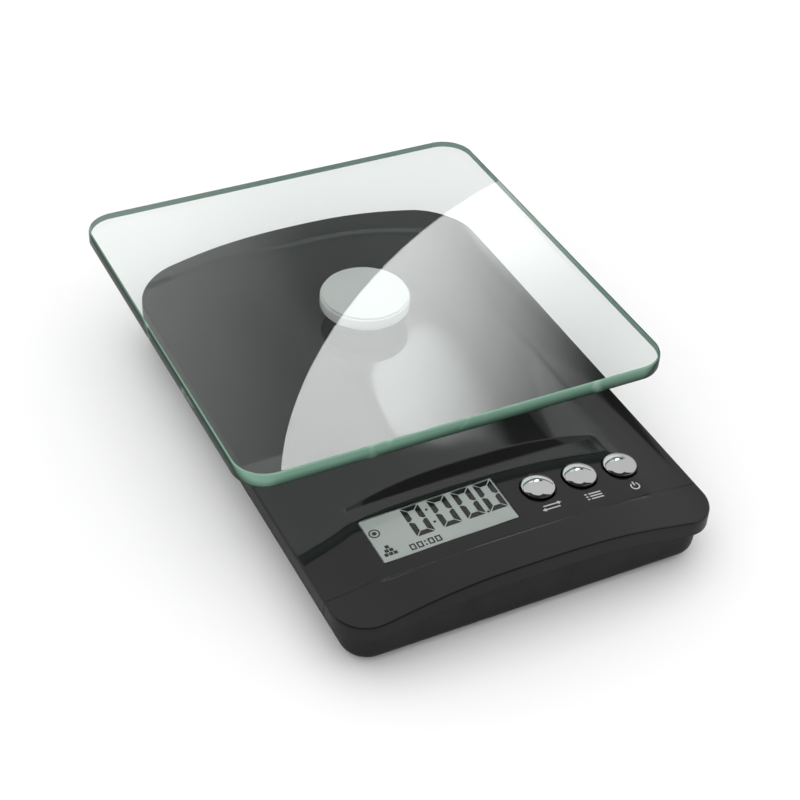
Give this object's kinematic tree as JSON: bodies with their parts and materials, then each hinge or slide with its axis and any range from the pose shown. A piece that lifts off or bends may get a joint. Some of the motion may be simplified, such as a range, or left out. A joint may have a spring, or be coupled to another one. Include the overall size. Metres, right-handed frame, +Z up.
{
  "type": "digital gram scale",
  "caption": "Slim battery-powered digital gram scale: a square glass platter on a round hub over a crowned black body with a display and press keys.",
  "frame": {"origin": "on the table under the middle of the scale's footprint", "axes": "+X to the right as the user faces the display, +Y away from the user, +Z up"},
  "size_m": [0.15, 0.2006, 0.04],
  "materials": {
    "clear_glass": "clear float glass with a green cast at its ground edges",
    "clear_bond": "cured clear adhesive",
    "white_hub": "off-white moulded plastic",
    "black_cover": "polished black plastic",
    "black_case": "satin black plastic",
    "black_inner": "plain black plastic",
    "display_lens": "clear acrylic",
    "display_panel": "grey-green liquid crystal",
    "conductive_rubber": "layered conductive rubber",
    "circuit_board": "green solder mask on glass fibre",
    "chromed_plastic": "bright chrome plating",
    "switch_plunger": "moulded plastic",
    "aluminium_bar": "machined aluminium",
    "zinc_plate": "zinc-plated steel",
    "screw_steel": "plated steel",
    "gauge_potting": "white silicone over the strain gauges",
    "battery_label": "plain printed sleeve",
    "nickel": "nickel-plated spring steel",
    "black_rubber": "soft black rubber",
    "grey_cable": "soft vinyl",
    "red_lead": "soft vinyl"
  },
  "bodies": {
    "housing": {"battery_1": "battery_label", "battery_2": "battery_label", "battery_contact_bridge": "nickel", "battery_contact_minus": "nickel", "battery_contact_plus": "nickel", "battery_leads": "red_lead", "battery_spring_1": "nickel", "battery_spring_2": "nickel", "board_screw_1": "screw_steel", "board_screw_2": "screw_steel", "bottom_case": "black_case", "case_screw_1": "screw_steel", "case_screw_2": "screw_steel", "case_screw_3": "screw_steel", "case_screw_4": "screw_steel", "chip_dome": "conductive_rubber", "foot_1": "black_rubber", "foot_2": "black_rubber", "foot_3": "black_rubber", "foot_4": "black_rubber", "gauge_potting_bottom": "gauge_potting", "gauge_potting_top": "gauge_potting", "lcd_holder": "black_inner", "lcd_panel": "display_panel", "lcd_window": "display_lens", "load_cell": "aluminium_bar", "load_cell_cable": "grey_cable", "load_cell_screw_1": "screw_steel", "load_cell_screw_2": "screw_steel", "load_cell_spacer": "zinc_plate", "main_board": "circuit_board", "switch_mode": "black_inner", "switch_unit": "black_inner", "switch_zero": "black_inner", "top_cover": "black_cover", "zebra_strip_front": "conductive_rubber", "zebra_strip_rear": "conductive_rubber"},
    "platter": {"glass_platter": "clear_glass", "platter_bond_pad": "clear_bond", "hub_disc": "white_hub", "hub_stem": "white_hub", "stem_screw": "screw_steel", "platter_bracket": "zinc_plate", "bracket_screw_1": "screw_steel", "bracket_screw_2": "screw_steel"},
    "battery_door": {"battery_door": "black_case"},
    "key_unit": {"button_cap_unit": "chromed_plastic", "switch_plunger_unit": "switch_plunger"},
    "key_mode": {"button_cap_mode": "chromed_plastic", "switch_plunger_mode": "switch_plunger"},
    "key_zero": {"button_cap_zero": "chromed_plastic", "switch_plunger_zero": "switch_plunger"}
  },
  "joints": [
    {"name": "platter_press", "type": "slide", "parent": "housing", "child": "platter", "axis": [0, 0, -1], "range_m": [0, 0.0004], "stiffness_N_per_m": 12000, "springref_m": -0.0005},
    {"name": "key_unit_press", "type": "slide", "parent": "housing", "child": "key_unit", "axis": [0, 0, -1], "range_m": [0, 0.0006], "stiffness_N_per_m": 500, "springref_m": -0.0006},
    {"name": "key_mode_press", "type": "slide", "parent": "housing", "child": "key_mode", "axis": [0, 0, -1], "range_m": [0, 0.0006], "stiffness_N_per_m": 500, "springref_m": -0.0006},
    {"name": "key_zero_press", "type": "slide", "parent": "housing", "child": "key_zero", "axis": [0, 0, -1], "range_m": [0, 0.0006], "stiffness_N_per_m": 500, "springref_m": -0.0006},
    {"name": "battery_door_hinge", "type": "hinge", "parent": "housing", "child": "battery_door", "pos_m": [0, -0.02225, 0.002], "axis": [1, 0, 0], "range_deg": [0, 100]}
  ]
}
